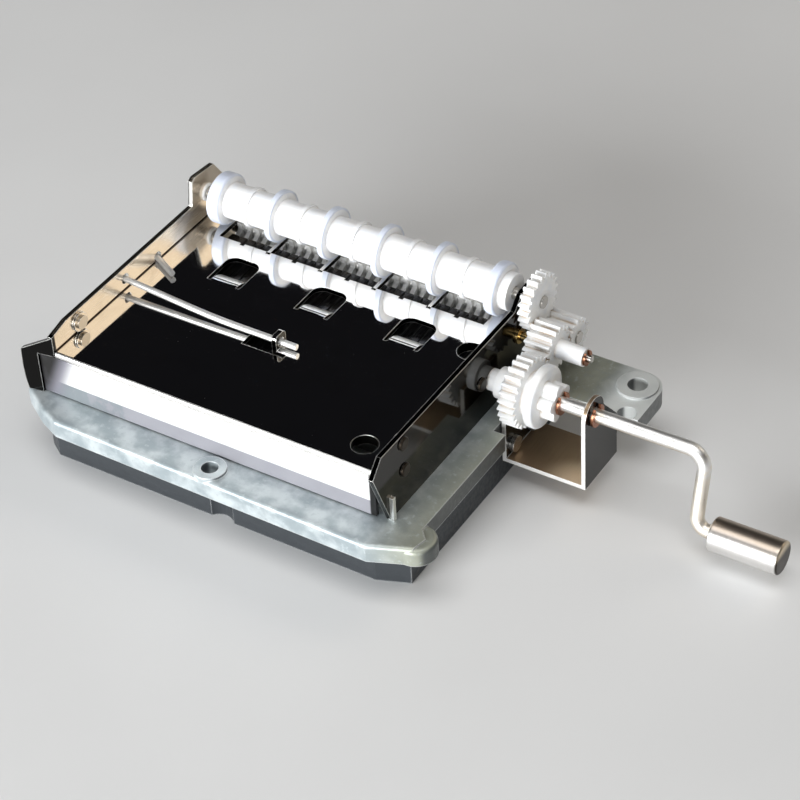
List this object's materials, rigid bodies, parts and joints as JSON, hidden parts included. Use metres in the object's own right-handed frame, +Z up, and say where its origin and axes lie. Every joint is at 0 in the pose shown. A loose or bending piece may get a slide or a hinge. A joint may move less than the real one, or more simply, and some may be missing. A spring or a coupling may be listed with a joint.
{
  "type": "punch tape music box",
  "caption": "Hand cranked music movement on a cast base, with a table for a punched paper strip, a ringed press roller, star wheels over a steel comb and a side crank.",
  "frame": {"origin": "on the resting plane, midway between the side plates, under the middle of the table", "axes": "+X along the roller towards the crank, +Y from the front apron to the roller, +Z up"},
  "size_m": [0.1392, 0.0648, 0.0345],
  "materials": {
    "zinc_casting": "raw blue-grey zinc die casting, fine rough skin",
    "comb_rail_zinc": "raw zinc casting, machined top",
    "table_nickel": "polished nickel plate, mirror",
    "apron_nickel": "polished nickel plate",
    "side_nickel": "polished nickel plate with a warm tint",
    "bracket_nickel": "satin nickel with a tan tint",
    "rivet_nickel": "nickel plated",
    "screw_steel": "zinc plated steel",
    "spring_steel": "ground spring steel",
    "lead": "dull cast lead",
    "star_steel": "bright stamped steel",
    "shaft_steel": "ground steel",
    "white_nylon": "milky white moulded nylon",
    "bush_nylon": "white moulded nylon",
    "brass": "turned brass",
    "clip_copper": "copper coloured spring clip",
    "crank_nickel": "bright nickel plated rod, slightly worn",
    "knob_nickel": "satin nickel, turned",
    "wire_nickel": "bright nickel plated spring wire"
  },
  "bodies": {
    "frame": {"base_casting": "zinc_casting", "top_plate": "table_nickel", "front_apron": "apron_nickel", "left_side_plate": "side_nickel", "right_side_plate": "side_nickel", "side_plate_rivets": "rivet_nickel", "frame_screws": "screw_steel", "comb": "spring_steel", "comb_rail": "comb_rail_zinc", "comb_screws": "screw_steel", "comb_weights": "lead", "roller_bushes": "bush_nylon", "drive_shaft_bushes": "bush_nylon", "crank_bush": "bush_nylon", "idler_pin": "shaft_steel", "idler_spacer": "brass", "idler_clip": "clip_copper", "gear_bracket": "bracket_nickel", "bracket_screws": "screw_steel", "paper_wire": "wire_nickel"},
    "crank": {"crank_rod": "crank_nickel", "crank_gear": "white_nylon", "crank_clips": "clip_copper"},
    "knob": {"crank_knob": "knob_nickel"},
    "idler": {"idler_gear": "white_nylon"},
    "drive": {"drive_shaft": "shaft_steel", "drive_pinion": "white_nylon", "drive_shaft_clip": "clip_copper"},
    "roller": {"press_roller": "white_nylon", "roller_shaft": "shaft_steel", "roller_gear": "white_nylon", "roller_clip": "clip_copper"},
    "star_1": {"star_wheels_1": "star_steel"},
    "star_2": {"star_wheels_2": "star_steel"},
    "star_3": {"star_wheels_3": "star_steel"},
    "star_4": {"star_wheels_4": "star_steel"},
    "star_5": {"star_wheels_5": "star_steel"}
  },
  "joints": [
    {"name": "crank_turn", "type": "hinge", "parent": "frame", "child": "crank", "pos_m": [0, 0.0095, 0.0199], "axis": [1, 0, 0], "continuous": true},
    {"name": "knob_spin", "type": "hinge", "parent": "crank", "child": "knob", "pos_m": [0.09, 0.006, 0.0056], "axis": [1, 0, 0], "continuous": true},
    {"name": "idler_turn", "type": "hinge", "parent": "frame", "child": "idler", "pos_m": [0, 0.01952, 0.02303], "axis": [1, 0, 0], "continuous": true},
    {"name": "drive_shaft_turn", "type": "hinge", "parent": "frame", "child": "drive", "pos_m": [0, 0.02665, 0.0207], "axis": [1, 0, 0], "continuous": true},
    {"name": "roller_turn", "type": "hinge", "parent": "frame", "child": "roller", "pos_m": [0, 0.0236, 0.0289], "axis": [1, 0, 0], "continuous": true},
    {"name": "star_1_turn", "type": "hinge", "parent": "frame", "child": "star_1", "pos_m": [0, 0.02665, 0.0207], "axis": [1, 0, 0], "continuous": true},
    {"name": "star_2_turn", "type": "hinge", "parent": "frame", "child": "star_2", "pos_m": [0, 0.02665, 0.0207], "axis": [1, 0, 0], "continuous": true},
    {"name": "star_3_turn", "type": "hinge", "parent": "frame", "child": "star_3", "pos_m": [0, 0.02665, 0.0207], "axis": [1, 0, 0], "continuous": true},
    {"name": "star_4_turn", "type": "hinge", "parent": "frame", "child": "star_4", "pos_m": [0, 0.02665, 0.0207], "axis": [1, 0, 0], "continuous": true},
    {"name": "star_5_turn", "type": "hinge", "parent": "frame", "child": "star_5", "pos_m": [0, 0.02665, 0.0207], "axis": [1, 0, 0], "continuous": true}
  ],
  "couplings": [
    {"joint": "idler_turn", "follows": "crank_turn", "ratio": -1.625},
    {"joint": "drive_shaft_turn", "follows": "crank_turn", "ratio": 1.8571},
    {"joint": "roller_turn", "follows": "crank_turn", "ratio": -1.2381}
  ]
}
